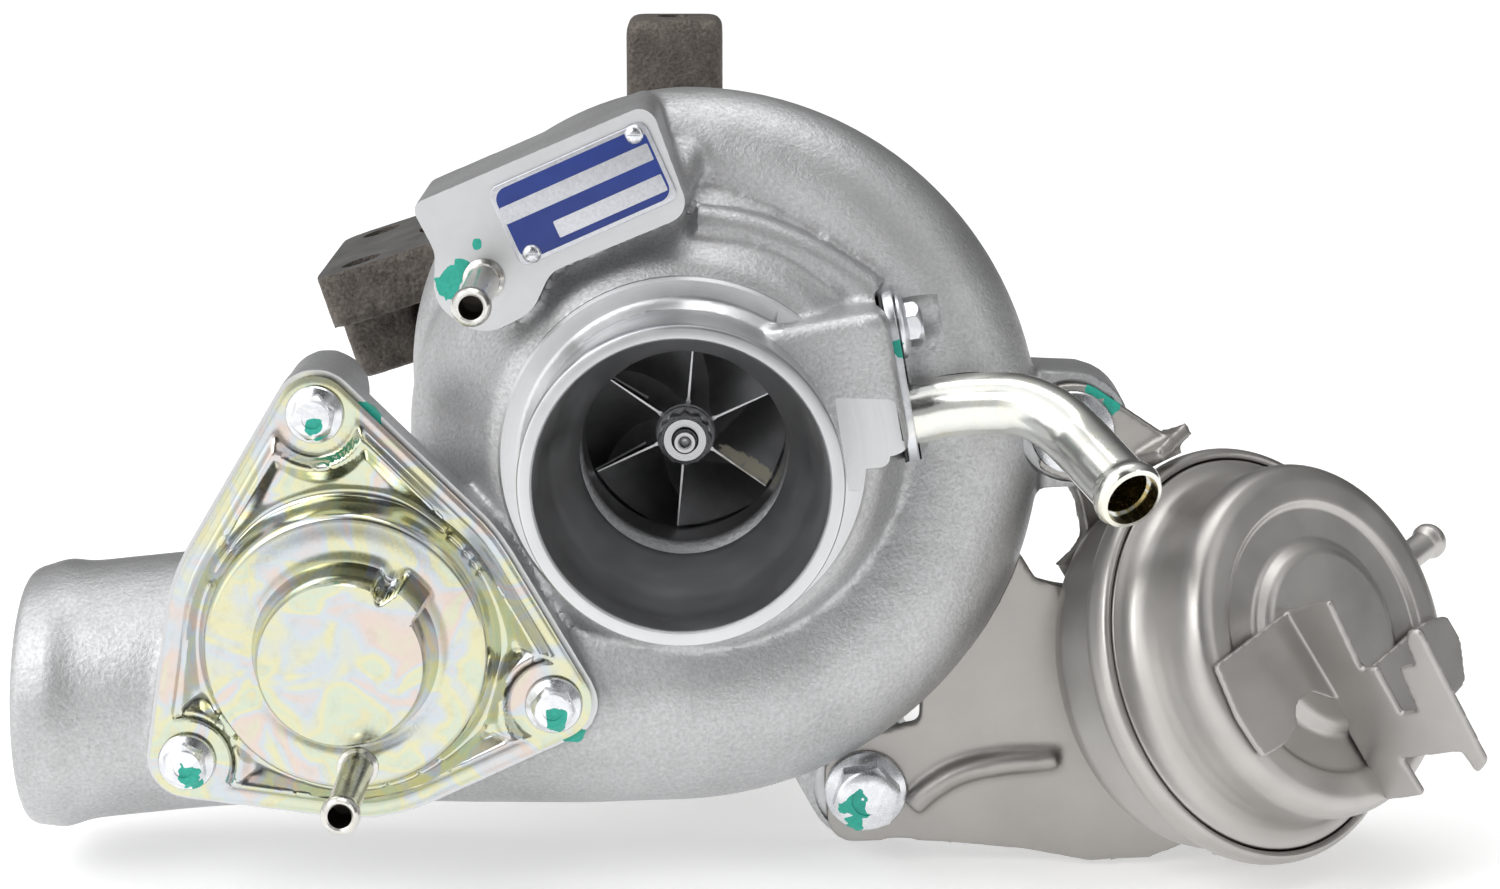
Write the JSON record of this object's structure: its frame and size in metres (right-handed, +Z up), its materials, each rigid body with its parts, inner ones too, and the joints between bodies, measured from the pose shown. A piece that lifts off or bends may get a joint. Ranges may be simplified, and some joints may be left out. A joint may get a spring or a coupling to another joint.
{
  "type": "turbocharger",
  "caption": "Petrol-engine turbocharger with a scroll compressor, recirculation valve, bleed tube and a boost actuator that drives an internal wastegate.",
  "frame": {"origin": "centre of the turbine inlet port, on the exhaust manifold flange's face", "axes": "-Y along the shaft, out of the compressor inlet; +X away from the compressor outlet, towards the actuator; +Z up, on the side of the manifold flange"},
  "size_m": [0.3054, 0.2105, 0.1719],
  "materials": {
    "cast_aluminium": "as cast, fine sand grain",
    "machined_aluminium": "turned, fine lathe marks",
    "zinc_plate": "bright zinc plate",
    "yellow_zinc": "clear to yellow passivated zinc, faintly iridescent",
    "plated_tube": "bright zinc plate, yellow inside",
    "actuator_steel": "satin warm grey",
    "bracket_steel": "satin warm grey",
    "cast_iron": "rough cast, heat darkened",
    "heat_steel": "dull, heat stained",
    "wheel_alloy": "cast and polished",
    "shaft_steel": "ground",
    "bronze": "turned bronze",
    "rubber": "moulded",
    "spring_steel": "oiled spring wire",
    "blue_plate": "blue enamel with plain bright bars"
  },
  "bodies": {
    "housing": {"compressor_housing": "cast_aluminium", "compressor_backplate": "machined_aluminium", "backplate_o_ring": "rubber", "bypass_diaphragm": "rubber", "tube_gasket": "rubber", "actuator_diaphragm": "rubber", "housing_snap_ring": "spring_steel", "bypass_spring": "spring_steel", "actuator_spring": "spring_steel", "bypass_cover": "yellow_zinc", "bypass_nipple": "zinc_plate", "bypass_bolt_1": "zinc_plate", "bypass_bolt_2": "zinc_plate", "bypass_bolt_3": "zinc_plate", "nameplate_rivet_1": "zinc_plate", "nameplate_rivet_2": "zinc_plate", "boost_nipple": "zinc_plate", "tube_flange_bolt": "zinc_plate", "actuator_nipple": "zinc_plate", "actuator_bolt_upper": "zinc_plate", "actuator_bolt_lower": "zinc_plate", "nameplate": "blue_plate", "tube_flange": "plated_tube", "bleed_tube": "plated_tube", "actuator_bracket": "bracket_steel", "actuator_front_shell": "actuator_steel", "actuator_rear_shell": "actuator_steel", "actuator_clip_bracket": "actuator_steel", "wastegate_bush": "heat_steel", "turbine_heat_shield": "heat_steel", "turbine_v_clamp": "heat_steel", "v_clamp_bolt": "heat_steel", "v_clamp_nut": "heat_steel", "outlet_stud_1": "heat_steel", "outlet_stud_2": "heat_steel", "outlet_stud_3": "heat_steel", "outlet_stud_4": "heat_steel", "bearing_housing": "cast_iron", "turbine_housing": "cast_iron", "thrust_bearing": "bronze", "journal_bearing_front": "bronze", "journal_bearing_rear": "bronze"},
    "rotor": {"turbine_wheel_shaft": "shaft_steel", "compressor_wheel": "wheel_alloy", "shaft_nut": "zinc_plate", "thrust_collar": "shaft_steel", "oil_flinger": "shaft_steel"},
    "bypass_piston": {"bypass_valve": "machined_aluminium"},
    "pushrod": {"actuator_rod": "zinc_plate", "rod_end": "zinc_plate", "rod_lock_nut": "zinc_plate", "diaphragm_cup": "actuator_steel"},
    "wastegate": {"wastegate_lever": "heat_steel", "lever_pin": "heat_steel", "lever_pin_clip": "spring_steel", "wastegate_shaft": "heat_steel", "wastegate_flap": "heat_steel"}
  },
  "joints": [
    {"name": "rotor_spin", "type": "hinge", "parent": "housing", "child": "rotor", "pos_m": [0.045, -0.05, -0.036], "axis": [0, -1, 0], "continuous": true},
    {"name": "bypass_valve_slide", "type": "slide", "parent": "housing", "child": "bypass_piston", "axis": [0, -1, 0], "range_m": [0, 0.006], "stiffness_N_per_m": 900, "springref_m": -0.004, "deforming": ["bypass_diaphragm", "bypass_spring"]},
    {"name": "actuator_rod_slide", "type": "slide", "parent": "housing", "child": "pushrod", "axis": [-0.601, 0.7111, -0.3649], "range_m": [0, 0.01], "stiffness_N_per_m": 6000, "springref_m": -0.006, "deforming": ["actuator_diaphragm", "actuator_spring"]},
    {"name": "wastegate_swing", "type": "hinge", "parent": "housing", "child": "wastegate", "pos_m": [0.04989, 0.028, -0.03303], "axis": [0.519, 0, -0.8548], "range_deg": [0, 22.4]}
  ],
  "couplings": [
    {"joint": "wastegate_swing", "follows": "actuator_rod_slide", "rad_per_m": 38.703}
  ]
}
